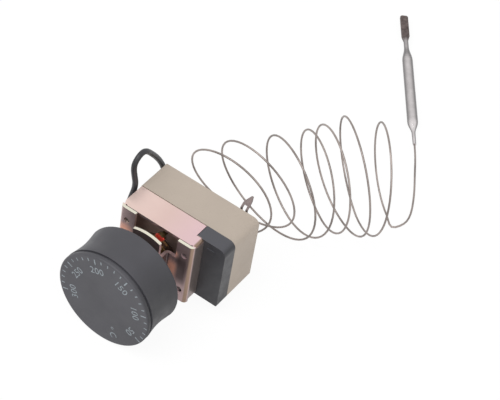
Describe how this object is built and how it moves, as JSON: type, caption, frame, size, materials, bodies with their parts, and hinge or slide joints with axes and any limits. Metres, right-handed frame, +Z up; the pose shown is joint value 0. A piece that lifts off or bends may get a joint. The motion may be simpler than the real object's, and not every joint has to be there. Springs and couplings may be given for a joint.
{
  "type": "thermostat",
  "caption": "Capillary thermostat with a turning dial knob, folded steel bracket, moulded switch housing, open coil of sensing tube and cylindrical bulb.",
  "frame": {"origin": "centre of the mounting strap's front face, on the spindle's axis", "axes": "+X to the right as seen from the knob, +Y from the knob back to the housing, +Z up across the bracket's flanges"},
  "size_m": [0.0973, 0.2838, 0.0591],
  "materials": {
    "beige_moulding": "matt beige thermoset moulding",
    "black_moulding": "matt black phenolic moulding",
    "passivated_steel": "zinc-passivated sheet with a pinkish gold tint",
    "brass": "plain turned",
    "knob_black": "fine-grained phenolic moulding with pale printed graduations",
    "bright_steel": "zinc-plated",
    "copper_alloy": "bare copper alloy",
    "ceramic_white": "unglazed",
    "tinned_terminal": "oxidised",
    "wire_insulation": "smooth black insulation",
    "tube_steel": "dull drawn tube",
    "bulb_steel": "drawn steel with a darkened tail",
    "print_white": "pale printed graduations",
    "red_lacquer": "dab of locking paint"
  },
  "bodies": {
    "thermostat_body": {"housing": "beige_moulding", "switch_plate": "black_moulding", "bracket": "passivated_steel", "spindle_bush": "brass", "stop_pin": "bright_steel", "calibration_screw": "brass", "contact_pivot": "bright_steel", "arm_terminal": "brass", "load_terminal": "tinned_terminal", "return_spring": "bright_steel", "terminal_screw": "bright_steel", "tie_screws": "bright_steel", "jumper_wire": "wire_insulation", "jumper_lug": "bright_steel", "capillary_tube": "tube_steel", "bulb": "bulb_steel"},
    "dial": {"knob": "knob_black", "spindle": "bright_steel", "retaining_ring": "bright_steel", "stop_arm": "bright_steel"},
    "carriage": {"adjusting_nut": "brass", "diaphragm_capsule": "copper_alloy"},
    "pin": {"push_pin": "ceramic_white"},
    "switch_arm": {"contact_arm": "copper_alloy"}
  },
  "joints": [
    {"name": "dial_turn", "type": "hinge", "parent": "thermostat_body", "child": "dial", "pos_m": [0, 0, 0], "axis": [0, 1, 0], "range_deg": [-118, 109]},
    {"name": "capsule_travel", "type": "slide", "parent": "thermostat_body", "child": "carriage", "axis": [0, 1, 0], "range_m": [-0.00038, 0.00042]},
    {"name": "pin_travel", "type": "slide", "parent": "thermostat_body", "child": "pin", "axis": [0, 1, 0], "range_m": [-0.00038, 0.00042]},
    {"name": "arm_swing", "type": "hinge", "parent": "thermostat_body", "child": "switch_arm", "pos_m": [-0.013, 0.0248, 0], "axis": [0, 0, 1], "range_deg": [-1.7, 1.85]}
  ],
  "couplings": [
    {"joint": "capsule_travel", "follows": "dial_turn", "m_per_rad": -0.00019894},
    {"joint": "pin_travel", "follows": "dial_turn", "m_per_rad": -0.00019894},
    {"joint": "arm_swing", "follows": "dial_turn", "ratio": -0.015303}
  ]
}
